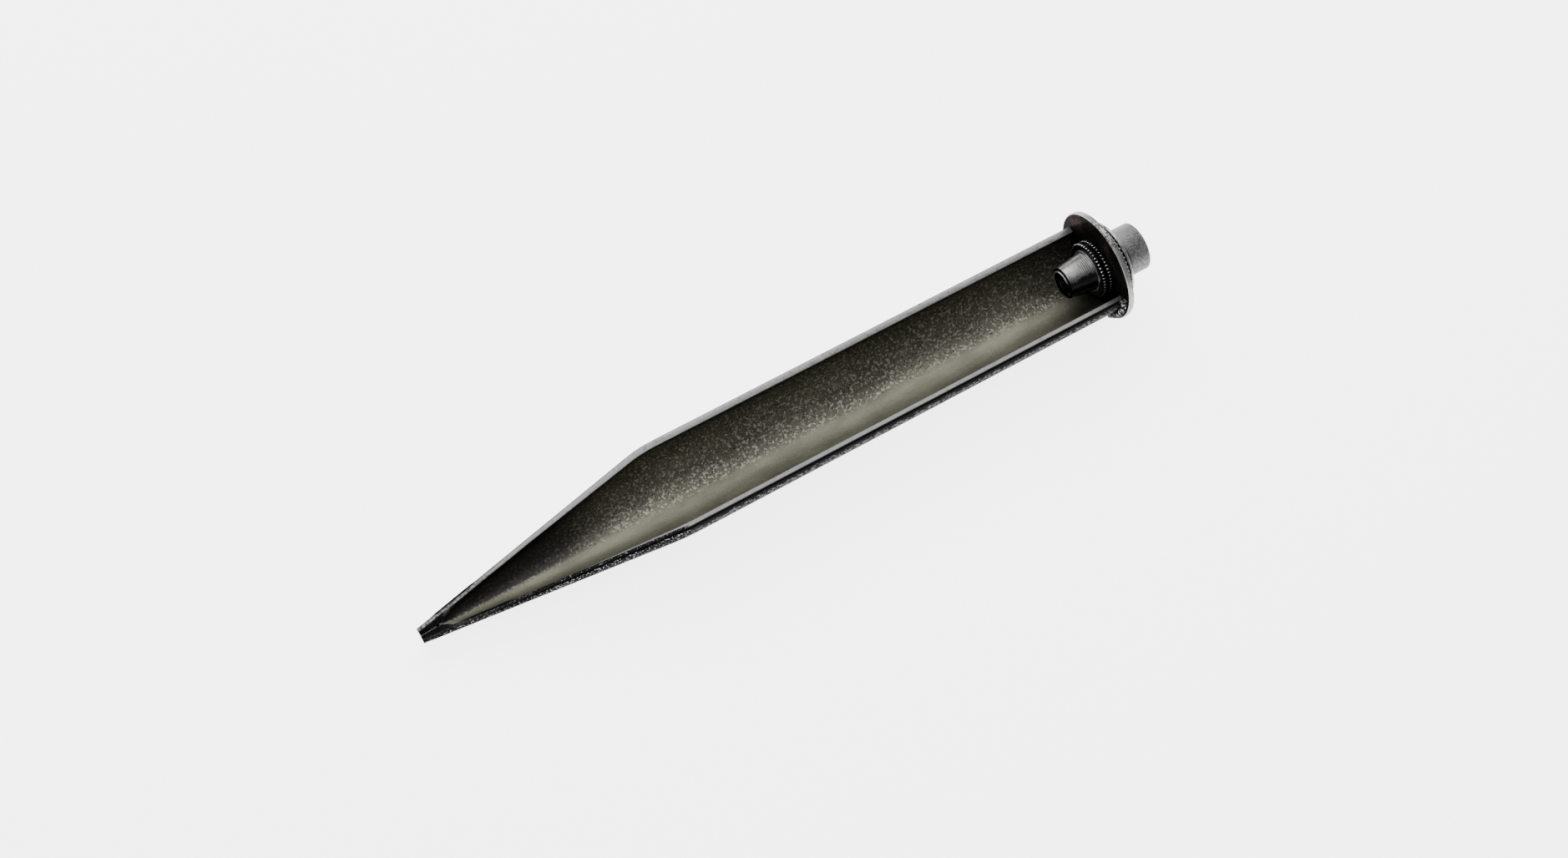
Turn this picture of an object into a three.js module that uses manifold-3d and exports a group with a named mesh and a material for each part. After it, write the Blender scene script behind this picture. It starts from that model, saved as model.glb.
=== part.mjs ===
// Post anchor spike: a channel-section ground spike with a drawn point, closed by a round top
// plate that carries a bolted spigot. It lies on its keel with the open side up.
// +X runs from the point to the spigot, +Z out of the open side. Millimetres.
import * as THREE from 'three';
import { mergeVertices } from 'three/addons/utils/BufferGeometryUtils.js';
import Module from 'manifold-3d';

const wasm = await Module();
wasm.setup();

// ---- driving dimensions -------------------------------------------------------------------
const LENGTH = 400;          // point to the underside of the top plate
const SHOULDER = 262;        // straight channel, measured down from the plate
const SHELL_R = 26.2;        // outer radius of the channel
const WALL = 3.7;            // sheet thickness
const DRAWN_WALL = 2.6;      // thinned edge of the drawn point
const WRAP_DEG = 8.5;        // how far each edge rises past the half circle
const TIP_R = 4.2;           // half width of the blunt end
const TIP_SOLID = 9;         // length of the closed-up end
const TIP_GATHER = 18;       // where the hollow starts to close, from the blunt end
const SHOULDER_BLEND = 7;    // half length of the rounding where the drawing-in starts

const PLATE_R = 31;
const PLATE_FACE_R = 30;     // edge of the flat underside
const PLATE_T = 3;
const GAP = 0.05;            // between pieces that bear on each other
const STUD_R = 5;            // M10 stud
const STUD_CLEAR = 0.15;
const STUD_END = -17.7;      // end of the thread inside the nut
const SPIGOT_R = 13.4;
const SPIGOT_END = 26.4;
const SPIGOT_SOCKET = 13.6;  // depth of the stud in the spigot
const TEETH = 48;
const TOOTH = 0.8;
const NUT_BASE_R = 10.8;
const NUT_END_R = 8.8;
const NUT_END = -21.2;
const ROUND = 48;            // facets of a turned piece

// stations of the stacked rings, along X: [from, to]
const SEAT = [PLATE_T + GAP, 5.6];
const LOWER_WASHER = [5.65, 7.3];
const TOP_LOCK = [7.35, 8.55];
const COLLAR = [8.6, 10.2];  // round the foot of the spigot
const LOCK_A = [-1.05, -GAP];
const LOCK_SPACER = [-3.65, -1.1];
const LOCK_B = [-4.85, -3.7];
const NUT_WASHER = [-5.7, -4.9];
const NUT_START = -5.75;
const hole = STUD_R + 0.3;

// ---- finishes ----------------------------------------------------------------------------
const finish = (color, roughness, metalness = 0.9) => ({ color, roughness, metalness });
const PASSIVATED = finish(0x55544a, 0.38);
const DARK_PLATE = finish(0x2b2a28, 0.3);
const WELD = finish(0x57575a, 0.5);
const BRIGHT_RING = finish(0x8d8c8a, 0.3);
const BLACK_RING = finish(0x1c1c1d, 0.35);
const TURNED = finish(0x8b8b87, 0.32);
const SPIGOT_GREY = finish(0x969494, 0.45, 0.7);

const assembly = new THREE.Group();
// the origin is under the middle of the part, on the surface that it lies on
const FOOT = PLATE_R * Math.cos(Math.PI / ROUND);
assembly.position.set((LENGTH - SPIGOT_END) / 2, 0, FOOT);

function add(name, geometry, look) {
  const mesh = new THREE.Mesh(geometry, new THREE.MeshStandardMaterial(look));
  mesh.name = name;
  assembly.add(mesh);
}

// ---- booleans ----------------------------------------------------------------------------
function toSolid(geometry) {
  const bare = geometry.clone();
  bare.deleteAttribute('normal');
  bare.deleteAttribute('uv');
  const welded = mergeVertices(bare, 1e-4);
  return new wasm.Manifold(new wasm.Mesh({
    numProp: 3,
    vertProperties: new Float32Array(welded.attributes.position.array),
    triVerts: new Uint32Array(welded.index.array),
  }));
}

function toGeometry(solid) {
  const { vertProperties, triVerts } = solid.getMesh();
  const geometry = new THREE.BufferGeometry();
  geometry.setAttribute('position', new THREE.BufferAttribute(vertProperties, 3));
  geometry.setIndex(new THREE.BufferAttribute(triVerts, 1));
  return geometry;
}

// ---- round pieces about X ------------------------------------------------------------------
// profile: [x, radius] pairs, outer side running towards +X
function turned(profile, segments = ROUND) {
  const points = profile.map(([x, r]) => new THREE.Vector2(r, x));
  const lathe = new THREE.LatheGeometry(points, segments, Math.PI / segments);
  return lathe.rotateZ(-Math.PI / 2);
}

function ring([from, to], inner, outer, chamfer = 0.3, topOuter = outer) {
  return turned([
    [from, inner],
    [from, outer - chamfer],
    [from + chamfer, outer],
    [to - chamfer, topOuter],
    [to, topOuter - chamfer],
    [to, inner],
    [from, inner],
  ]);
}

// a flat ring with pointed teeth round its rim
function toothedRing([from, to], inner, outer) {
  const outline = new THREE.Shape();
  for (let i = 0; i <= 2 * TEETH; i += 1) {
    const angle = (i * Math.PI) / TEETH;
    const r = i % 2 ? outer : outer - TOOTH;
    const x = r * Math.cos(angle);
    const y = r * Math.sin(angle);
    if (i === 0) outline.moveTo(x, y);
    else if (i < 2 * TEETH) outline.lineTo(x, y);
  }
  outline.closePath();
  outline.holes.push(new THREE.Path().absarc(0, 0, inner, 0, 2 * Math.PI, true));
  const options = { depth: to - from, bevelEnabled: false, curveSegments: 12 };
  const blank = new THREE.ExtrudeGeometry(outline, options);
  return blank.rotateY(Math.PI / 2).translate(from, 0, 0);
}

// ---- channel spike -------------------------------------------------------------------------
// radius of the outer wall at a distance x below the plate: straight, a rounded shoulder, then
// a straight draw down to the blunt end
function outerRadius(x) {
  const slope = (SHELL_R - TIP_R) / (LENGTH - SHOULDER);
  const along = -x - SHOULDER;
  if (along <= -SHOULDER_BLEND) return SHELL_R;
  if (along >= SHOULDER_BLEND) return SHELL_R - slope * along;
  return SHELL_R - (slope * (along + SHOULDER_BLEND) ** 2) / (4 * SHOULDER_BLEND);
}

// the wall thins along the drawn point, then the hollow is gathered shut short of the end
function innerRadius(x) {
  const drawn = THREE.MathUtils.clamp((-x - SHOULDER) / 70, 0, 1);
  const open = outerRadius(x) - THREE.MathUtils.lerp(WALL, DRAWN_WALL, drawn);
  const gathered = (x + LENGTH - TIP_SOLID) / (TIP_GATHER - TIP_SOLID);
  return Math.max(0.35, open * Math.min(1, gathered));
}

function spikeShell() {
  const stations = [-LENGTH, -LENGTH + TIP_SOLID, -LENGTH + TIP_GATHER, -358, -332, -300];
  for (let i = 6; i >= -6; i -= 2) stations.push(-SHOULDER - (i * SHOULDER_BLEND) / 6);
  stations.push(-160, -70, 0);

  const wrap = THREE.MathUtils.degToRad(WRAP_DEG);
  const section = new THREE.Shape();
  section.absarc(0, 0, SHELL_R, Math.PI - wrap, wrap, false);
  section.absarc(0, 0, SHELL_R - WALL, wrap, Math.PI - wrap, true);
  section.closePath();
  const steps = stations.length - 1;
  const options = { depth: steps, steps, bevelEnabled: false, curveSegments: 17 };
  const blank = mergeVertices(new THREE.ExtrudeGeometry(section, options));

  // each section is drawn in about the keel line, which stays straight
  const place = blank.attributes.position;
  for (let i = 0; i < place.count; i += 1) {
    const x = stations[Math.round(place.getZ(i))];
    const angle = Math.atan2(place.getY(i), place.getX(i));
    const onOuter = Math.hypot(place.getX(i), place.getY(i)) > SHELL_R - WALL / 2;
    const r = onOuter ? outerRadius(x) : innerRadius(x);
    const centre = outerRadius(x) - SHELL_R;
    place.setXYZ(i, x, r * Math.cos(angle), centre + r * Math.sin(angle));
  }
  return blank;
}

function topPlate() {
  return turned([
    [0, hole],
    [0, PLATE_FACE_R],
    [0.9, PLATE_R],
    [PLATE_T - 0.4, PLATE_R],
    [PLATE_T, PLATE_R - 0.4],
    [PLATE_T, hole],
    [0, hole],
  ]);
}

// ---- weld runs in the corner between the channel and the plate ----------------------------------
function weldRun(fromDeg, toDeg) {
  const inner = SHELL_R + GAP;
  const outer = PLATE_FACE_R - 0.4;
  const leg = outer - inner;
  const bead = turned([
    [-leg, inner],
    [-leg * 0.85, inner + leg * 0.45],
    [-leg * 0.45, inner + leg * 0.85],
    [-GAP, outer],
    [-GAP, inner],
    [-leg, inner],
  ], 72);
  const wedge = new THREE.Shape();
  wedge.moveTo(0, 0);
  for (let i = 0; i <= 6; i += 1) {
    const angle = THREE.MathUtils.degToRad(fromDeg + ((toDeg - fromDeg) * i) / 6);
    wedge.lineTo(60 * Math.cos(angle), 60 * Math.sin(angle));
  }
  wedge.closePath();
  // the wedge is drawn in Y-Z, angles measured from +Y towards +Z
  const slice = new THREE.ExtrudeGeometry(wedge, { depth: 12, bevelEnabled: false });
  const turn = new THREE.Matrix4().set(0, 0, 1, -8, 1, 0, 0, 0, 0, 1, 0, 0, 0, 0, 0, 1);
  slice.applyMatrix4(turn);
  return toGeometry(toSolid(bead).intersect(toSolid(slice)));
}

// ---- spigot, stud and nut ----------------------------------------------------------------------
function spigot() {
  const start = TOP_LOCK[1] + GAP;
  const bore = STUD_R + STUD_CLEAR;
  const bottom = start + SPIGOT_SOCKET;
  return turned([
    [start, bore],
    [start, SPIGOT_R - 0.5],
    [start + 0.5, SPIGOT_R],
    [SPIGOT_END - 0.9, SPIGOT_R],
    [SPIGOT_END, SPIGOT_R - 0.9],
    [SPIGOT_END, 0],
    [bottom, 0],
    [bottom, bore],
    [start, bore],
  ]);
}

function taperedNut() {
  const bore = STUD_R + STUD_CLEAR;
  return turned([
    [NUT_END, bore + 0.6],
    [NUT_END, NUT_END_R - 1.3],
    [NUT_END + 1.2, NUT_END_R],
    [NUT_START - 0.6, NUT_BASE_R],
    [NUT_START, NUT_BASE_R - 0.6],
    [NUT_START, bore],
    [NUT_END + 0.6, bore],
    [NUT_END, bore + 0.6],
  ]);
}

function stud() {
  const top = TOP_LOCK[1] + GAP + SPIGOT_SOCKET - 0.1;
  return turned([
    [STUD_END, 0],
    [STUD_END, STUD_R - 0.8],
    [STUD_END + 0.8, STUD_R],
    [top - 0.8, STUD_R],
    [top, STUD_R - 0.8],
    [top, 0],
  ], 32);
}

add('spike_shell', spikeShell(), PASSIVATED);
add('top_plate', topPlate(), DARK_PLATE);
add('weld_near_edge', weldRun(168, 222), WELD);
add('weld_keel', weldRun(243, 297), WELD);
add('weld_far_edge', weldRun(318, 352), WELD);
add('seat_ring', ring(SEAT, hole, 26, 0.3, 23.6), BRIGHT_RING);
add('lower_washer', ring(LOWER_WASHER, hole, 22.4), BRIGHT_RING);
add('top_lock_washer', toothedRing(TOP_LOCK, hole, 20.6), BLACK_RING);
add('foot_collar', ring(COLLAR, SPIGOT_R + 0.15, 21.2), BRIGHT_RING);
add('spigot', spigot(), SPIGOT_GREY);
add('stud', stud(), TURNED);
add('inner_lock_washer_a', toothedRing(LOCK_A, hole, 15.4), BLACK_RING);
add('inner_lock_spacer', ring(LOCK_SPACER, hole, 13.8, 0.3), BLACK_RING);
add('inner_lock_washer_b', toothedRing(LOCK_B, hole, 15.4), BLACK_RING);
add('nut_washer', ring(NUT_WASHER, hole, 11.9, 0.15), BRIGHT_RING);
add('tapered_nut', taperedNut(), TURNED);

export default assembly;
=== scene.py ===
"""Post anchor spike: fine surface, finishes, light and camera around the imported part."""

import math

import bpy
from mathutils import Matrix, Vector


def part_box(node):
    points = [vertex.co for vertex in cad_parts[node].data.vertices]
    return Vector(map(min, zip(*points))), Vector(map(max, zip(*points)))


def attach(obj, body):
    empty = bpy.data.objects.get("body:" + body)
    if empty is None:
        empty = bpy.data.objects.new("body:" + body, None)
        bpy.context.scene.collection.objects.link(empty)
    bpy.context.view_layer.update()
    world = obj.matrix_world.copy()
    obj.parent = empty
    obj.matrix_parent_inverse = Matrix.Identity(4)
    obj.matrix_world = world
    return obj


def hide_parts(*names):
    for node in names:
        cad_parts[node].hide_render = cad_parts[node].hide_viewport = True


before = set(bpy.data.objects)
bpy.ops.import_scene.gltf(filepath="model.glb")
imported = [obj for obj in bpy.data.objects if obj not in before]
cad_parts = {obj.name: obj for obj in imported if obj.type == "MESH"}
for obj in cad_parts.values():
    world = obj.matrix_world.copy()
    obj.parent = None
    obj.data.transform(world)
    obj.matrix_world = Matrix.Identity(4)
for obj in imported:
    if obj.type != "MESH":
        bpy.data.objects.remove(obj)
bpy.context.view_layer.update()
MM = 0.001

# ---- where the spike lies: the axis of the channel, and the underside of the top plate ----
PLATE_LOW, PLATE_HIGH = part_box("top_plate")
AXIS_Z = (PLATE_LOW[2] + PLATE_HIGH[2]) / 2
PLATE_X = PLATE_LOW[0]
SHELL_R = 26.2
WALL = 3.7
WRAP = math.radians(8.5)
DRAWN_WALL = 2.6
LENGTH = 400.0
SHOULDER = 262.0
BLEND = 7.0
TIP_R = 4.2
TIP_SOLID = 9.0
TIP_GATHER = 18.0
DRAW = (SHELL_R - TIP_R) / (LENGTH - SHOULDER)
DRAWN_OVER = 70.0           # how far past the shoulder the wall has thinned to DRAWN_WALL

# ---- plate, rings, stud, spigot and nut: radii, and places along the axis ------------------
PLATE_R = 31.0
PLATE_T = 3.0
BORE_R = 5.3
STUD_R = 5.0
STUD_SPAN = (-17.7, 22.1)
SPIGOT_R = 13.4
SPIGOT_SPAN = (8.6, 26.4)
TEETH = 48
TOOTH = 0.8
NUT_SPAN = (-21.2, -5.75)
NUT_BASE_R = 10.8
NUT_END_R = 8.8
NUT_BORE_R = 5.2
NUT_CUTS = 28
THREAD_CUTS = 52
THREAD_ROOT = 0.86
BEAD_RING_R = 27.7
BEAD_R = 2.0
BEAD_LUMP = 1.3
WELDS = (("weld_near_edge", 168, 222, 1), ("weld_keel", 243, 297, 2), ("weld_far_edge", 318, 352, 3))
PLAIN_RINGS = (
    # object, node, body, start, end, inner, outer, eased edge, outer at the far side
    ("seat", "seat_ring", "spike", 3.05, 5.6, BORE_R, 26, 0.3, 23.6),
    ("washer_low", "lower_washer", "spike", 5.65, 7.3, BORE_R, 22.4, 0.3, None),
    ("collar", "foot_collar", "spigot", 8.6, 10.2, 13.5, 21.2, 0.3, None),
    ("nut_ring", "nut_washer", "lock_rings", -5.7, -4.9, BORE_R, 11.9, 0.15, None),
)
TOOTHED_RINGS = (
    # object, node, body, start, end, outer over the teeth
    ("lock_top", "top_lock_washer", "spigot", 7.35, 8.55, 20.6),
    ("lock_a", "inner_lock_washer_a", "lock_rings", -1.05, -0.05, 15.4),
    ("lock_b", "inner_lock_washer_b", "lock_rings", -4.85, -3.7, 15.4),
)

BLACK = (0.006, 0.006, 0.006)
DIRT = (0.012, 0.011, 0.010)
# painted shade black, for the -Y edge along the point and the closing hollow at the end
SHADE_BLACK = (0.004, 0.004, 0.004)


def at(x, y=0.0, z=0.0):
    """A place given in mm from the middle of the plate's underside, in the frame's metres."""
    return Vector((PLATE_X + x * MM, y * MM, AXIS_Z + z * MM))


# ---- small modelling hand tools -----------------------------------------------------------
def clear_selection():
    if bpy.context.object and bpy.context.object.mode != "OBJECT":
        bpy.ops.object.mode_set(mode="OBJECT")
    bpy.ops.object.select_all(action="DESELECT")


def started(name):
    piece = bpy.context.object
    piece.name = name
    piece.data.name = name
    return piece


def settle(piece):
    """Puts the piece's place, turn and size into its mesh."""
    clear_selection()
    piece.select_set(True)
    bpy.context.view_layer.objects.active = piece
    bpy.ops.object.transform_apply(location=True, rotation=True, scale=True)


def pick(piece, kind, test):
    """Leaves the piece in edit mode with only the verts, edges or faces that pass the test."""
    clear_selection()
    bpy.context.view_layer.objects.active = piece
    piece.select_set(True)
    bpy.ops.object.mode_set(mode="EDIT")
    bpy.ops.mesh.select_mode(type=kind)
    bpy.ops.mesh.select_all(action="DESELECT")
    bpy.ops.object.mode_set(mode="OBJECT")
    mesh = piece.data
    parts = {"VERT": mesh.vertices, "EDGE": mesh.edges, "FACE": mesh.polygons}[kind]
    for part in parts:
        part.select = bool(test(mesh, part))
    bpy.ops.object.mode_set(mode="EDIT")


def done_editing():
    bpy.ops.object.mode_set(mode="OBJECT")


def from_axis(point):
    """Distance along the spike in mm from the plate, distance from the axis, and the angle from +Y."""
    y = point[1] / MM
    z = (point[2] - AXIS_Z) / MM
    return (point[0] - PLATE_X) / MM, math.hypot(y, z), math.atan2(z, y)


def middle(mesh, edge):
    a, b = (mesh.vertices[i].co for i in edge.vertices)
    return (a + b) / 2


def finish_with(piece, kind, **settings):
    modifier = piece.modifiers.new(kind.title(), kind)
    for key, value in settings.items():
        setattr(modifier, key, value)
    clear_selection()
    piece.select_set(True)
    bpy.context.view_layer.objects.active = piece
    bpy.ops.object.modifier_apply(modifier=modifier.name)


def ease_edges(piece, width, segments=2, angle=35):
    finish_with(piece, "BEVEL", width=width * MM, segments=segments, limit_method="ANGLE",
                angle_limit=math.radians(angle), miter_outer="MITER_ARC")


def smooth(piece, angle=32):
    clear_selection()
    piece.select_set(True)
    bpy.context.view_layer.objects.active = piece
    bpy.ops.object.shade_smooth_by_angle(angle=math.radians(angle))


def face_out(piece):
    pick(piece, "FACE", lambda mesh, face: True)
    bpy.ops.mesh.remove_doubles(threshold=0.005 * MM)
    bpy.ops.mesh.normals_make_consistent(inside=False)
    done_editing()


# ---- shader wiring ------------------------------------------------------------------------
class Wire:
    """A socket that takes part in Python sums: each operator adds its Math node."""

    def __init__(self, finish, socket):
        self.finish = finish
        self.socket = socket

    def sum(self, operation, *values):
        return self.finish.node("ShaderNodeMath", {"operation": operation},
                                dict(enumerate(values)))

    def __add__(self, other):
        return self.sum("ADD", self, other)

    def __radd__(self, other):
        return self.sum("ADD", other, self)

    def __sub__(self, other):
        return self.sum("SUBTRACT", self, other)

    def __rsub__(self, other):
        return self.sum("SUBTRACT", other, self)

    def __mul__(self, other):
        return self.sum("MULTIPLY", self, other)

    def __rmul__(self, other):
        return self.sum("MULTIPLY", other, self)

    def __truediv__(self, other):
        return self.sum("DIVIDE", self, other)

    def __pow__(self, other):
        return self.sum("POWER", self, other)


class Finish:
    """A procedural finish for one kind of surface of the spike."""

    def __init__(self, name):
        self.material = bpy.data.materials.new(name)
        self.material.use_nodes = True
        self.tree = self.material.node_tree
        self.tree.nodes.clear()
        self.place = self.node("ShaderNodeTexCoord", out="Object")

    def node(self, kind, settings=None, inputs=None, out=0):
        made = self.tree.nodes.new(kind)
        for key, value in (settings or {}).items():
            setattr(made, key, value)
        for key, value in (inputs or {}).items():
            socket = made.inputs[key]
            if isinstance(value, Wire):
                self.tree.links.new(value.socket, socket)
            else:
                socket.default_value = value
        return Wire(self, made.outputs[out])

    def noise(self, size_mm, detail=3.0, rough=0.55, stretch=(1, 1, 1)):
        """Noise whose features measure about size_mm, from 0 to 1."""
        scale = tuple(s / (size_mm * MM) for s in stretch)
        where = self.node("ShaderNodeMapping", {"vector_type": "POINT"},
                          {"Vector": self.place, "Scale": scale})
        return self.node("ShaderNodeTexNoise", {"noise_dimensions": "3D"},
                         {"Vector": where, "Scale": 1.0, "Detail": detail, "Roughness": rough})

    def step(self, value, low, high, start=0.0, end=1.0):
        """start below low, end above high, smooth between."""
        return self.node("ShaderNodeMapRange", {"interpolation_type": "SMOOTHSTEP", "clamp": True},
                         {"Value": value, "From Min": low, "From Max": high,
                          "To Min": start, "To Max": end})

    def blend(self, factor, first, second):
        sockets = {0: factor, 6: rgba(first), 7: rgba(second)}
        return self.node("ShaderNodeMix", {"data_type": "RGBA", "clamp_factor": True}, sockets, out=2)

    def axis_parts(self):
        """Along the spike, across it and up from its axis, in mm."""
        split = self.tree.nodes.new("ShaderNodeSeparateXYZ")
        self.tree.links.new(self.place.socket, split.inputs[0])
        x, y, z = (Wire(self, output) for output in split.outputs)
        return (x - PLATE_X) * 1000.0, y * 1000.0, (z - AXIS_Z) * 1000.0

    def band(self, value, low, high, soft):
        """1 between low and high, 0 outside, with soft ends."""
        return self.step(value, low - soft, low + soft) * self.step(value, high - soft, high + soft,
                                                                    1.0, 0.0)

    def edge_depth(self):
        """Distance in mm across the sheared edge, from its outer arris inwards."""
        _, y, _ = self.axis_parts()
        return self.drawn_radius() * math.cos(WRAP) - y.sum("ABSOLUTE", y)

    def drawn_radius(self):
        """Outer radius of the spike here: full on the channel, smaller along the point."""
        x, _, _ = self.axis_parts()
        return SHELL_R - x.sum("MAXIMUM", x * -1.0 - SHOULDER, 0.0) * DRAW

    def radius(self):
        _, y, z = self.axis_parts()
        return (y * y + z * z) ** 0.5

    def bump(self, height, depth_mm, strength=1.0, under=None):
        inputs = {"Height": height, "Distance": depth_mm * MM, "Strength": strength}
        if under:
            inputs["Normal"] = under
        return self.node("ShaderNodeBump", None, inputs)

    def surface(self, color, roughness, normal=None, metallic=1.0, specular=0.5, sheen_at_edge=1.0):
        inputs = {"Base Color": color, "Roughness": roughness, "Metallic": metallic,
                  "Specular IOR Level": specular, "Specular Tint": rgba((sheen_at_edge,) * 3)}
        if normal:
            inputs["Normal"] = normal
        shader = self.node("ShaderNodeBsdfPrincipled", None, inputs)
        self.node_output(shader)
        return self.material

    def node_output(self, shader):
        end = self.tree.nodes.new("ShaderNodeOutputMaterial")
        self.tree.links.new(shader.socket, end.inputs["Surface"])


def rgba(color):
    return color if isinstance(color, Wire) else (*color, 1.0)


# ---- finishes -----------------------------------------------------------------------------
def passivated_sheet():
    """Dark olive passivated zinc inside the channel: crystal grain, specks and dull patches, with painted
    shade on the upper +Y wall and on the +Y wall along the point.
    """
    f = Finish("passivated_sheet")
    x, y, z = f.axis_parts()
    # worn: the +Y wall, where specks, pits and darker grain gather; the darker grain there is also painted
    # shade of that wall
    worn = f.step(y / f.drawn_radius(), -0.06, 0.12)
    grain = f.noise(1.0, 3, 0.7)
    flecks = f.step(f.noise(1.5, 2, 0.65), 0.54, 0.60) * (0.06 + worn * 0.94)
    pits = f.step(f.noise(1.0, 2, 0.7, (1, 1, 1.2)), 0.56, 0.64) * (0.08 + worn * 0.92)
    patches = f.noise(14, 4, 0.55, (0.35, 1, 1))
    streaks = f.noise(3, 3, 0.5, (0.08, 1, 1))
    base = f.blend(f.step(patches, 0.35, 0.65), (0.098, 0.097, 0.070), (0.146, 0.145, 0.108))
    base = f.blend(flecks * 0.75, base, (0.42, 0.39, 0.34))
    base = f.blend(pits * 0.85, base, DIRT)
    base = f.blend(f.step(grain, 0.30, 0.5, 0.6, 0.0) * (0.35 + worn * 0.65), base, (0.020, 0.019, 0.017))
    # painted shade: the +Y wall along the drawn point darkened nearly to black
    far_point_shade = f.step(y / f.drawn_radius(), -0.04, 0.14) * f.step(x, -335.0, -262.0, 1.0, 0.0)
    base = f.blend(far_point_shade * 0.88, base, (0.010, 0.009, 0.009))
    # painted shade: the upper part of the +Y wall, below its edge, darkened nearly to black
    far_wall_shade = f.step(z + SHELL_R - f.drawn_radius() - y * 0.1, -4.5, 0.8) * f.step(y, 0.0, 1.0)
    base = f.blend(far_wall_shade * 0.85, base, (0.008, 0.008, 0.007))
    rough = 0.32 + grain * 0.18 + streaks * 0.10
    normal = f.bump(grain, 0.10, 0.7, f.bump(patches, 0.5, 0.25))
    return f.surface(base, rough, normal, metallic=0.8)


def outside_sheet():
    """Outside of the channel: a band of painted shade under the sheared edge, then black pits over grey."""
    f = Finish("outside_sheet")
    x, y, z = f.axis_parts()
    ragged = f.noise(1.3, 3, 0.8, (0.7, 1, 1))
    pitted = f.step(f.noise(1.7, 3, 0.7), 0.47, 0.53) * f.step(z, -17.0, -8.0)
    # painted shade: a ragged black band on the outside just under the sheared edge
    unshaded = f.step(z + (ragged - 0.5) * 14.0, -0.8, 0.8, 1.0, 0.0)
    black = 1.0 - unshaded * (1.0 - pitted * 0.92)
    grain = f.noise(1.0, 3, 0.6)
    base = f.blend(grain, (0.10, 0.10, 0.098), (0.17, 0.17, 0.167))
    base = f.blend(black * 0.98, base, BLACK)
    rough = 0.34 + grain * 0.15 + black * 0.25
    return f.surface(base, rough, f.bump(grain, 0.05, 0.5), metallic=0.85, specular=0.15,
                     sheen_at_edge=0.2)


def shade_with_specks(f):
    """Painted shade for the outside of the point: black, with bright worn specks left out."""
    speck = f.step(f.noise(1.0, 2, 0.7), 0.575, 0.64)
    return 1.0 - speck * 0.85


def shaded_flank():
    """Outside of the drawn point: painted shade with worn specks on the -Y side, grey on the +Y side."""
    f = Finish("shaded_flank")
    lumps = f.noise(1.6, 4, 0.65)
    x, y, z = f.axis_parts()
    low = f.step(z + SHELL_R - f.drawn_radius(), -8.0, -4.0)
    # painted shade: the -Y flank black but for its specks, a little less black low down
    black = shade_with_specks(f) * (0.9 + low * 0.1)
    base = f.blend(black, (0.42, 0.42, 0.415), (0.003, 0.003, 0.003))
    base = f.blend(f.step(y, -1.0, 1.0) * 0.9, base, (0.19, 0.19, 0.187))
    normal = f.bump(lumps, 0.5, 0.9)
    return f.surface(base, 0.45 + lumps * 0.25, normal, metallic=0.8, specular=0.1,
                     sheen_at_edge=0.05)


def sheared_edge():
    """Sheared edge: light on +Y, a darker painted-shade copy on -Y with a painted-shade black arris, and
    painted shade along the point.
    """
    f = Finish("sheared_edge")
    x, y, z = f.axis_parts()
    depth = f.edge_depth()
    lines = f.noise(0.7, 3, 0.6, (0.12, 1, 1))
    nicks = f.step(f.noise(2.2, 3, 0.7), 0.58, 0.70)
    near = f.step(y, -1.0, 1.0, 1.0, 0.0)
    light = f.blend(f.step(lines, 0.3, 0.7), (0.19, 0.19, 0.187), (0.28, 0.28, 0.275))
    # dull: painted shade, the -Y edge as a darker copy of the +Y edge's grey
    dull = f.blend(f.step(lines, 0.3, 0.7), (0.110, 0.110, 0.107), (0.165, 0.165, 0.16))
    base = f.blend(near, light, dull)
    base = f.blend(nicks * 0.6, base, (0.06, 0.06, 0.055))
    # painted shade: the rounded outer arris of the -Y edge painted black
    arris = f.step(depth, 0.9, 1.5, 1.0, 0.0) * near
    base = f.blend(arris * 0.97, base, (0.005, 0.005, 0.005))
    # painted shade: the -Y edge along the point painted black, all but its specks and the inner lip
    lip = f.step(depth, 2.3, 2.7) * f.step(x, -330.0, -300.0)
    point_edge_shade = f.step(x, -263.0, -259.0, 1.0, 0.0) * near * (1.0 - lip) * shade_with_specks(f)
    base = f.blend(point_edge_shade, base, SHADE_BLACK)
    far_end = f.step(x, -385.0, -320.0, 1.0, 0.0) * f.step(f.noise(1.4, 3, 0.7), 0.44, 0.54)
    base = f.blend(far_end * 0.8, base, (0.03, 0.03, 0.03))
    # painted shade: the closing hollow at the blunt end painted black
    closed_end = f.step(x, -387.0, -379.0, 1.0, 0.0) * f.step(depth, 1.6, 2.2)
    base = f.blend(closed_end, base, SHADE_BLACK)
    return f.surface(base, 0.35 + lines * 0.2, f.bump(lines, 0.06, 0.5), metallic=0.85, specular=0.15,
                     sheen_at_edge=0.2)


def plate_face():
    """Glossy dark plating on the flat of the top plate."""
    f = Finish("plate_face")
    patches = f.noise(9, 4, 0.6)
    grain = f.noise(0.8, 3, 0.6)
    base = f.blend(f.step(patches, 0.35, 0.7), (0.020, 0.0175, 0.0165), (0.046, 0.040, 0.038))
    return f.surface(base, 0.14 + patches * 0.12, f.bump(grain, 0.03, 0.4), metallic=0.9,
                     specular=0.1, sheen_at_edge=0.3)


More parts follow.
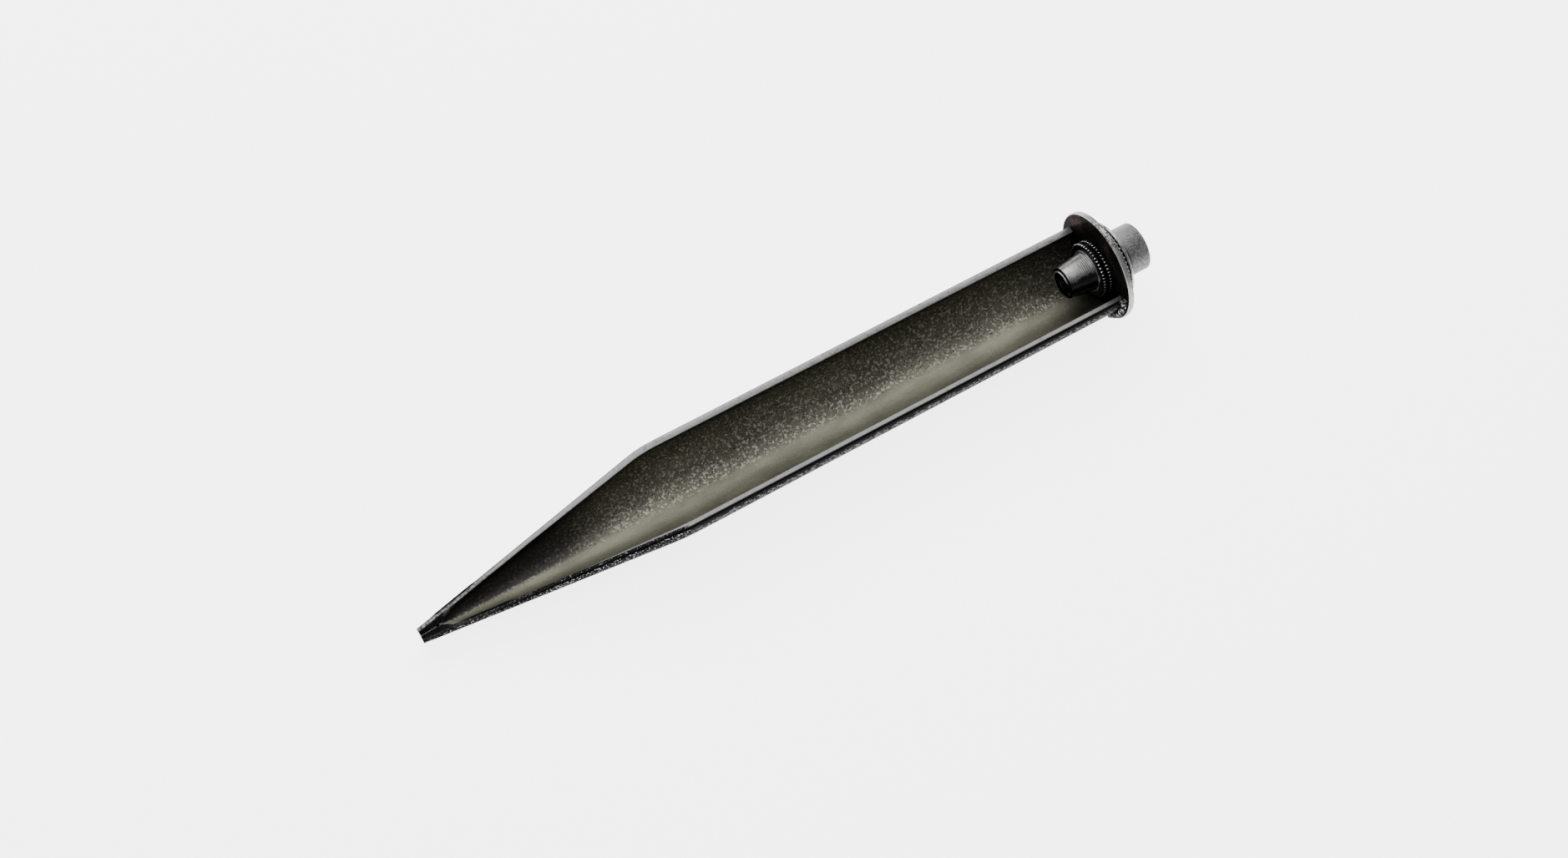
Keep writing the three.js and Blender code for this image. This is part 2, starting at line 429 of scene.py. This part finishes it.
def plate_rim():
    """Light turned rim of the plate, dirty at its far side and blotted dark round part of it."""
    f = Finish("plate_rim")
    lines = f.noise(0.5, 2, 0.6, (1.0, 0.15, 0.15))
    x, y, z = f.axis_parts()
    chips = f.noise(1.7, 3, 0.75)
    nicks = f.step(chips, 0.60, 0.68)
    base = f.blend(f.step(lines, 0.3, 0.7), (0.19, 0.19, 0.187), (0.27, 0.27, 0.265))
    base = f.blend(nicks * 0.6, base, (0.04, 0.04, 0.04))
    joint = f.step(x + (chips - 0.5) * 3.0, 2.25, 2.55)
    base = f.blend(joint * 0.97, base, BLACK)
    blots = f.band(y + z * 0.5, 8.0, 26.0, 3.0) * f.step(f.noise(2.6, 3, 0.65), 0.47, 0.55)
    base = f.blend(blots * 0.8, base, (0.02, 0.02, 0.02))
    return f.surface(base, 0.30 + lines * 0.2, f.bump(lines, 0.05, 0.4), metallic=0.85)


def weld_bead():
    """Plated weld metal: painted highlights on the crests, painted shade in the hollows."""
    f = Finish("weld_bead")
    lumps = f.noise(1.5, 3, 0.6)
    # painted light: colour follows the bump's height, bright on the crests and black in the hollows
    base = f.blend(f.step(lumps, 0.50, 0.60), (0.005, 0.005, 0.005), (0.26, 0.26, 0.255))
    return f.surface(base, 0.28 + lumps * 0.2, f.bump(lumps, 0.35, 0.7), metallic=0.85,
                     specular=0.1, sheen_at_edge=0.1)


def bright_washer():
    """Zinc washers with turning marks, and dark bands across the joints between them."""
    f = Finish("bright_washer")
    radius = f.radius()
    x, y, z = f.axis_parts()
    marks = f.node("ShaderNodeMath", {"operation": "SINE"}, {0: radius * 16.0 + x * 9.0})
    stain = f.noise(2.2, 3, 0.6)
    base = f.blend(f.step(stain, 0.4, 0.66), (0.36, 0.36, 0.355), (0.16, 0.16, 0.155))
    # dark bands painted across the washers where they meet
    ragged = (f.noise(1.6, 3, 0.6) - 0.5) * 0.9
    joints = f.band(x + ragged, 2.6, 3.75, 0.12) + f.band(x + ragged, 5.1, 6.0, 0.12)
    joints = joints + f.band(x + ragged, 7.0, 8.9, 0.12)
    base = f.blend(joints * 0.92, base, (0.012, 0.012, 0.012))
    return f.surface(base, 0.24 + stain * 0.18, f.bump(marks, 0.02, 0.5), metallic=0.95)


def black_lock_ring(outer):
    """Black oxide, with a painted highlight on the tips of the teeth."""
    f = Finish(f"black_lock_ring_{round(outer * 10)}")
    # painted highlight: near-white on the tips of the teeth
    tip_highlight = f.step(f.radius(), outer - 0.35, outer - 0.10)
    fine = f.noise(0.7, 3, 0.6)
    base = f.blend(tip_highlight, BLACK, (0.92, 0.92, 0.91))
    return f.surface(base, 0.22 + fine * 0.2, f.bump(fine, 0.03, 0.4), metallic=0.9)


def turned_nut():
    """Turned steel: fine rings round the taper, painted shade on its lower half with a painted highlight
    line, a painted dark reflection on the end and a painted highlight on part of its lip.
    """
    f = Finish("turned_nut")
    x, y, z = f.axis_parts()
    rings = f.node("ShaderNodeMath", {"operation": "SINE"}, {0: x * 6.2})
    fine = f.noise(0.5, 2, 0.6, (1.0, 0.12, 0.12))
    film = f.noise(3, 3, 0.6)
    base = f.blend(f.step(film, 0.38, 0.66), (0.27, 0.27, 0.262), (0.20, 0.20, 0.19))
    base = f.blend(f.step(fine, 0.42, 0.58) * 0.45, base, (0.10, 0.10, 0.097))
    height = (y * 0.88 + z * 0.47) / f.radius()
    # painted shade: the lower half of the taper darkened nearly to black, with a ragged edge
    shaded_half = f.step(height + rings * 0.05 + (fine - 0.5) * 0.5, -0.16, -0.02, 1.0, 0.0)
    # painted highlight: a thin line near the lower silhouette left out of the shade
    highlight_line = f.band(height, -0.92, -0.80, 0.02) * 0.8
    base = f.blend(shaded_half * (1.0 - highlight_line) * 0.96, base, (0.012, 0.011, 0.011))
    end = f.step(x, -20.6, -20.2, 1.0, 0.0)
    lip = f.band(f.radius(), 6.8, 7.6, 0.1)
    # painted dark reflection: the end face painted black but for its lip
    base = f.blend(end * (1.0 - lip), base, (0.008, 0.008, 0.008))
    # painted highlight: near-white on one side of the lip
    base = f.blend(end * lip * f.step(y + z * 0.4, -2.0, 2.0), base, (0.70, 0.70, 0.69))
    normal = f.bump(rings, 0.05, 0.6)
    return f.surface(base, 0.26 + film * 0.15, normal, metallic=0.95, sheen_at_edge=0.4)


def dark_thread():
    """Zinc stud with an oily dark thread."""
    f = Finish("dark_thread")
    film = f.noise(1.2, 3, 0.6)
    base = f.blend(film, (0.05, 0.05, 0.05), (0.16, 0.16, 0.155))
    return f.surface(base, 0.3 + film * 0.2, f.bump(film, 0.04, 0.4), metallic=0.9)


def dull_spigot():
    """Dull grey zinc, with painted shade on the low side near the end, mottled there, and painted shade at
    its foot on that side.
    """
    f = Finish("dull_spigot")
    x, y, z = f.axis_parts()
    low_side = f.step(y * -0.55 + x * 0.45, 3.0, 11.0)
    mottle = f.noise(1.2, 4, 0.75)
    spots = f.step(mottle, 0.46, 0.56) * low_side
    fine = f.noise(0.8, 2, 0.6)
    base = f.blend(fine * 0.6, (0.175, 0.171, 0.169), (0.225, 0.220, 0.217))
    # painted shade: the low side near the end darkened
    base = f.blend(low_side * 0.5, base, (0.10, 0.098, 0.097))
    base = f.blend(spots * 0.8, base, (0.03, 0.03, 0.03))
    # painted shade: a black band round the foot, next to the collar, on the low side
    foot_shade = f.step(x + (mottle - 0.5) * 3.0, 14.2, 15.2, 1.0, 0.0) * f.step(y, -8.0, -1.0, 1.0, 0.0)
    base = f.blend(foot_shade * 0.95, base, (0.010, 0.010, 0.010))
    return f.surface(base, 0.50 + fine * 0.15, f.bump(mottle, 0.08, 0.3), metallic=0.35)


def coat_with(piece, *materials):
    piece.data.materials.clear()
    for material in materials:
        piece.data.materials.append(material)


def paint_faces(piece, index, test):
    for face in piece.data.polygons:
        if test(face):
            face.material_index = index


# ---- the channel spike --------------------------------------------------------------------
def outer_radius(x):
    along = -x - SHOULDER
    if along <= -BLEND:
        return SHELL_R
    if along >= BLEND:
        return SHELL_R - DRAW * along
    return SHELL_R - DRAW * (along + BLEND) ** 2 / (4 * BLEND)


def inner_radius(x):
    """The wall thins along the point, then the hollow is gathered shut short of the end."""
    drawn = min(1.0, max(0.0, (-x - SHOULDER) / DRAWN_OVER))
    hollow = outer_radius(x) - WALL + (WALL - DRAWN_WALL) * drawn
    return max(0.3, hollow * min(1.0, (x + LENGTH - TIP_SOLID) / (TIP_GATHER - TIP_SOLID)))


def spike_stations():
    straight = [-i * SHOULDER / 26 for i in range(26)]
    rounding = [-SHOULDER + BLEND * (1 - i / 4) for i in range(9)]
    drawn = [-SHOULDER - BLEND - (LENGTH - SHOULDER - BLEND) * i / 44 for i in range(1, 45)]
    return [x for x in straight if x > rounding[0] + 2] + rounding + drawn


def draw_out_shell():
    """Half circle of the sheet's middle line, drawn out along the spike and in at the point."""
    mid = SHELL_R - WALL / 2
    bpy.ops.mesh.primitive_circle_add(vertices=144, radius=mid * MM, location=at(0),
                                      rotation=(0, math.pi / 2, 0))
    shell = started("spike")
    settle(shell)
    pick(shell, "VERT", lambda mesh, vert: True)
    top = at(0, 0, mid * math.sin(WRAP))
    bpy.ops.mesh.bisect(plane_co=top, plane_no=(0, 0, 1), clear_outer=True)
    bpy.ops.mesh.select_all(action="SELECT")
    keel = -SHELL_R + WALL / 2
    stations = spike_stations()
    for before, now in zip(stations, stations[1:]):
        bpy.ops.mesh.extrude_region_move(
            TRANSFORM_OT_translate={"value": ((now - before) * MM, 0, 0)})
        size = (outer_radius(now) - WALL / 2) / (outer_radius(before) - WALL / 2)
        if abs(size - 1) > 1e-6:
            bpy.ops.transform.resize(value=(1, size, size), center_override=at(now, 0, keel))
    done_editing()
    return shell


def close_up_point(shell):
    """The inner wall is gathered until the hollow closes short of the blunt end."""
    for x in spike_stations():
        wanted, found = inner_radius(x), outer_radius(x) - WALL
        centre = outer_radius(x) - SHELL_R
        if abs(wanted - found) < 0.02:
            continue
        halfway = outer_radius(x) - WALL / 2

        def on_inner(mesh, vert):
            along, _, _ = from_axis(vert.co)
            across = math.hypot(vert.co.y / MM, (vert.co.z - AXIS_Z) / MM - centre)
            return abs(along - x) < 0.6 and across < halfway

        pick(shell, "VERT", on_inner)
        size = wanted / found
        bpy.ops.transform.resize(value=(1, size, size), center_override=at(x, 0, centre))
        done_editing()


def place_in_section(point):
    """Along the spike, distance from the section's own centre, and height above that centre."""
    along, _, _ = from_axis(point)
    z = (point[2] - AXIS_Z) / MM - outer_radius(along) + SHELL_R
    return along, math.hypot(point[1] / MM, z), z


def round_rim(shell):
    """Rounds the outer arris of both sheared edges well, and the inner arris a little."""
    for outside, width, segments in ((True, 1.1, 4), (False, 0.35, 3)):
        def arris(mesh, edge):
            a, b = (mesh.vertices[i].co for i in edge.vertices)
            if abs(a.x - b.x) < 0.3 * MM:
                return False
            along, across, z = place_in_section((a + b) / 2)
            if z < across * math.sin(WRAP) - 0.12 or along < -LENGTH + TIP_SOLID:
                return False
            middle_wall = (outer_radius(along) + inner_radius(along)) / 2
            return (across > middle_wall) == outside

        pick(shell, "EDGE", arris)
        bpy.ops.mesh.bevel(offset=width * MM, segments=segments, profile=0.5)
        done_editing()


def make_spike():
    shell = draw_out_shell()
    face_out(shell)
    finish_with(shell, "SOLIDIFY", thickness=WALL * MM, offset=0.0, use_even_offset=True)
    face_out(shell)
    close_up_point(shell)
    round_rim(shell)
    ease_edges(shell, 0.4, 2, 50)
    smooth(shell, 40)
    coat_with(shell, passivated_sheet(), sheared_edge(), shaded_flank(), outside_sheet())

    def outside(face):
        along, across, z = place_in_section(face.center)
        return across > outer_radius(along) - 0.2 and face.normal.z < 0.6

    def flank(face):
        return outside(face) and face.center.x < at(-SHOULDER + 2).x

    def rim(face):
        along, across, z = place_in_section(face.center)
        return face.normal.z > 0.25 and z > across * math.sin(WRAP) - 1.2 and along < -0.8 and (
            across > inner_radius(along) + 0.02)

    paint_faces(shell, 3, outside)
    paint_faces(shell, 2, flank)
    paint_faces(shell, 1, rim)
    paint_faces(shell, 2, lambda face: from_axis(face.center)[0] < -LENGTH + 0.3)
    return shell


# ---- turned pieces ------------------------------------------------------------------------
def disc(name, start, end, outer, sides=96, turn=0.0):
    bpy.ops.mesh.primitive_cylinder_add(
        vertices=sides, radius=outer * MM, depth=(end - start) * MM,
        location=at((start + end) / 2), rotation=(0, math.pi / 2, turn))
    piece = started(name)
    settle(piece)
    return piece


def bore_out(piece, inner):
    """Insets both end faces to the bore's edge, removes them and bridges the hole."""
    outer = max(from_axis(v.co)[1] for v in piece.data.vertices)
    for side in (-1, 1):
        pick(piece, "FACE", lambda mesh, face: face.normal.x * side > 0.9 and len(face.vertices) > 8)
        bpy.ops.mesh.inset(thickness=0.0)
        size = inner / outer
        bpy.ops.transform.resize(value=(1, size, size), center_override=at(0))
        done_editing()
    pick(piece, "FACE", lambda mesh, face: abs(face.normal.x) > 0.9 and len(face.vertices) > 8)
    bpy.ops.mesh.delete(type="ONLY_FACE")
    bpy.ops.mesh.select_mode(type="EDGE")
    bpy.ops.mesh.select_all(action="DESELECT")
    done_editing()
    limit = inner + 0.01
    pick(piece, "EDGE", lambda mesh, edge: from_axis(middle(mesh, edge))[1] < limit)
    bpy.ops.mesh.bridge_edge_loops()
    done_editing()
    face_out(piece)


def make_ring(name, start, end, inner, outer, ease, material, far_outer=None):
    piece = disc(name, start, end, outer)
    if far_outer:
        pick(piece, "VERT", lambda mesh, vert: from_axis(vert.co)[0] > (start + end) / 2)
        size = far_outer / outer
        bpy.ops.transform.resize(value=(1, size, size), center_override=at(0))
        done_editing()
    bore_out(piece, inner)
    ease_edges(piece, ease, 3)
    smooth(piece)
    coat_with(piece, material)
    return piece


def make_toothed(name, start, end, inner, outer):
    """Every second corner of the rim is pulled out into a tooth."""
    piece = disc(name, start, end, outer - TOOTH, sides=2 * TEETH)
    step = math.pi / TEETH

    def tooth(mesh, vert):
        angle = from_axis(vert.co)[2]
        return round(angle / step) % 2 == 0

    pick(piece, "VERT", tooth)
    size = outer / (outer - TOOTH)
    bpy.ops.transform.resize(value=(1, size, size), center_override=at(0))
    done_editing()
    bore_out(piece, inner)
    ease_edges(piece, 0.12, 2, 25)
    smooth(piece)
    coat_with(piece, black_lock_ring(outer))
    return piece


def make_plate():
    plate = disc("plate", 0.0, PLATE_T, PLATE_R, sides=160)
    bore_out(plate, BORE_R)
    for low_side, width in ((True, 0.95), (False, 0.45)):
        pick(plate, "EDGE", lambda mesh, edge: from_axis(middle(mesh, edge))[1] > PLATE_R - 0.1
             and mesh.vertices[edge.vertices[0]].co.x - mesh.vertices[edge.vertices[1]].co.x == 0
             and (from_axis(middle(mesh, edge))[0] < PLATE_T / 2) == low_side)
        bpy.ops.mesh.bevel(offset=width * MM, segments=4, profile=0.5)
        done_editing()
    smooth(plate)
    coat_with(plate, plate_face(), plate_rim())
    paint_faces(plate, 1, lambda face: abs(face.normal.x) < 0.93 and from_axis(face.center)[1] > PLATE_R - 3)
    return plate


def make_nut():
    """Tapered body with shallow turned rings, chamfered small end and an open bore."""
    end, start = NUT_SPAN
    halfway = (start + end) / 2
    piece = disc("nut", end, start, NUT_BASE_R, sides=96)
    pick(piece, "VERT", lambda mesh, vert: from_axis(vert.co)[0] < halfway)
    bpy.ops.transform.resize(value=(1, NUT_END_R / NUT_BASE_R, NUT_END_R / NUT_BASE_R), center_override=at(0))
    done_editing()
    pick(piece, "EDGE", lambda mesh, edge: abs(middle(mesh, edge).x - at(halfway).x) < 0.1 * MM)
    bpy.ops.mesh.subdivide(number_cuts=NUT_CUTS)
    done_editing()
    step = (start - end) / (NUT_CUTS + 1)

    def hollow(mesh, vert):
        along = (from_axis(vert.co)[0] - end) / step
        return 2.5 < along < NUT_CUTS + 0.5 and round(along) % 2 == 0

    pick(piece, "VERT", hollow)
    bpy.ops.transform.resize(value=(1, 0.985, 0.985), center_override=at(0))
    done_editing()
    pick(piece, "VERT", lambda mesh, vert: from_axis(vert.co)[0] < end + 0.1)
    bpy.ops.transform.resize(value=(1, 0.86, 0.86), center_override=at(0))
    done_editing()
    pick(piece, "FACE", lambda mesh, face: face.normal.x < -0.9 and len(face.vertices) > 8)
    for inset, rise in ((0.4, -0.45), (0.35, 0.0), (0.35, 0.45)):
        bpy.ops.mesh.inset(thickness=inset * MM)
        bpy.ops.transform.translate(value=(rise * MM, 0, 0))
    done_editing()
    bore_out(piece, NUT_BORE_R)
    ease_edges(piece, 0.2, 2, 40)
    smooth(piece, 25)
    coat_with(piece, turned_nut())
    return piece


def make_stud():
    """Thread crests and roots stepped along a plain rod."""
    low, high = STUD_SPAN
    piece = disc("stud_rod", low, high, STUD_R, sides=48)
    pick(piece, "EDGE", lambda mesh, edge: abs(middle(mesh, edge).x - at((low + high) / 2).x) < 0.1 * MM)
    bpy.ops.mesh.subdivide(number_cuts=THREAD_CUTS)
    done_editing()
    step = (high - low) / (THREAD_CUTS + 1)
    pick(piece, "VERT", lambda mesh, vert: round((from_axis(vert.co)[0] - low) / step) % 2 == 0)
    bpy.ops.transform.resize(value=(1, THREAD_ROOT, THREAD_ROOT), center_override=at(0))
    done_editing()
    ease_edges(piece, 0.15, 2, 40)
    smooth(piece, 30)
    coat_with(piece, dark_thread())
    return piece


def make_spigot():
    piece = disc("spigot_body", *SPIGOT_SPAN, SPIGOT_R, sides=128)
    ease_edges(piece, 0.9, 4)
    smooth(piece)
    coat_with(piece, dull_spigot())
    return piece


# ---- weld runs ----------------------------------------------------------------------------
def make_weld(name, start_deg, end_deg, seed):
    """A lumpy bead in the corner between the channel's outside and the plate."""
    bpy.ops.mesh.primitive_torus_add(location=at(-1.1), rotation=(0, math.pi / 2, 0),
                                     major_segments=220, minor_segments=20,
                                     major_radius=BEAD_RING_R * MM, minor_radius=BEAD_R * MM)
    bead = started(name)
    settle(bead)
    middle_angle = math.radians((start_deg + end_deg) / 2)
    half = math.radians((end_deg - start_deg) / 2)
    for turn in (-1, 1):
        edge = middle_angle + turn * half
        normal = Vector((0, -math.sin(edge) * turn, math.cos(edge) * turn))
        pick(bead, "VERT", lambda mesh, vert: True)
        bpy.ops.mesh.bisect(plane_co=at(0), plane_no=normal, use_fill=True, clear_outer=True)
        done_editing()
    toward = Vector((0, math.cos(middle_angle), math.sin(middle_angle)))
    pick(bead, "VERT", lambda mesh, vert: (vert.co - at(0)).dot(toward) < 0)
    bpy.ops.mesh.delete(type="VERT")
    done_editing()
    face_out(bead)
    lumps = bpy.data.textures.new(name + "_lumps", "CLOUDS")
    lumps.noise_scale = (2.2 + 0.3 * seed) * MM
    lumps.noise_depth = 1
    finish_with(bead, "DISPLACE", texture=lumps, texture_coords="LOCAL", strength=BEAD_LUMP * MM,
                mid_level=0.5)
    smooth(bead, 60)
    coat_with(bead, weld_bead())
    return bead


# ---- build --------------------------------------------------------------------------------
def stand_for(piece, body, node):
    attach(piece, body)
    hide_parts(node)


def build():
    stand_for(make_spike(), "spike", "spike_shell")
    stand_for(make_plate(), "spike", "top_plate")
    for node, start, end, seed in WELDS:
        stand_for(make_weld("bead_" + node, start, end, seed), "spike", node)
    bright = bright_washer()
    for name, node, body, start, end, inner, outer, ease, far_outer in PLAIN_RINGS:
        stand_for(make_ring(name, start, end, inner, outer, ease, bright, far_outer), body, node)
    for name, node, body, start, end, outer in TOOTHED_RINGS:
        stand_for(make_toothed(name, start, end, BORE_R, outer), body, node)
    stand_for(make_ring("lock_gap", -3.65, -1.1, BORE_R, 13.8, 0.3, black_lock_ring(18)),
              "lock_rings", "inner_lock_spacer")
    stand_for(make_spigot(), "spigot", "spigot")
    stand_for(make_stud(), "spigot", "stud")
    stand_for(make_nut(), "nut", "tapered_nut")


# ---- floor, light and camera -----------------------------------------------------------------
def pale_floor():
    bpy.ops.mesh.primitive_plane_add(size=6.0, location=(0, 0, 0))
    floor = started("floor")
    f = Finish("pale_floor")
    soft = f.noise(60, 2, 0.5)
    base = f.blend(soft * 0.3, (0.93, 0.93, 0.93), (0.90, 0.90, 0.90))
    shader = f.node("ShaderNodeBsdfPrincipled", None,
                    {"Base Color": base, "Roughness": 0.9, "Specular IOR Level": 0.1,
                     "Emission Color": (1, 1, 1, 1), "Emission Strength": 4.0})
    f.node_output(shader)
    coat_with(floor, f.material)


def soft_box(name, direction, distance, width, height, power, aim=None):
    """A rectangular soft light that looks at the middle of the spike."""
    aim = aim or at(-190)
    place = aim + Vector(direction).normalized() * distance
    lamp = bpy.data.lights.new(name, "AREA")
    lamp.shape = "RECTANGLE"
    lamp.size = width
    lamp.size_y = height
    lamp.energy = power
    made = bpy.data.objects.new(name, lamp)
    made.matrix_world = Matrix.Translation(place) @ (aim - place).to_track_quat(
        "-Z", "Y").to_matrix().to_4x4()
    bpy.context.scene.collection.objects.link(made)


def studio_light():
    soft_box("back_box", (0.25, 0.75, 0.75), 1.5, 2.2, 1.0, 35)
    soft_box("top_box", (-0.2, 0.1, 1.0), 1.8, 1.4, 1.2, 18)
    world = bpy.data.worlds.new("studio")
    world.use_nodes = True
    background = world.node_tree.nodes["Background"]
    background.inputs["Color"].default_value = (0.9, 0.93, 1.0, 1)
    background.inputs["Strength"].default_value = 0.35
    bpy.context.scene.world = world


CAMERA_AZIMUTH = -32.68
CAMERA_ELEVATION = 64.37
CAMERA_ROLL = 2.57
CAMERA_DISTANCE = 1072.2
CAMERA_LENS = 48.28
CAMERA_AIM = (-191.63, -0.11, -0.47)


def place_camera():
    a, e = math.radians(CAMERA_AZIMUTH), math.radians(CAMERA_ELEVATION)
    back = Vector((math.sin(a) * math.cos(e), -math.cos(a) * math.cos(e), math.sin(e)))
    right = Vector((math.cos(a), math.sin(a), 0))
    up = back.cross(right)
    r = math.radians(CAMERA_ROLL)
    rolled_right = right * math.cos(r) + up * math.sin(r)
    rolled_up = up * math.cos(r) - right * math.sin(r)
    place = at(*CAMERA_AIM) + back * CAMERA_DISTANCE * MM
    turn = Matrix((rolled_right, rolled_up, back)).transposed().to_4x4()
    lens = bpy.data.cameras.new("camera")
    lens.lens = CAMERA_LENS
    lens.sensor_width = 36
    camera = bpy.data.objects.new("camera", lens)
    camera.matrix_world = Matrix.Translation(place) @ turn
    bpy.context.scene.collection.objects.link(camera)
    bpy.context.scene.camera = camera


build()
pale_floor()
studio_light()
place_camera()
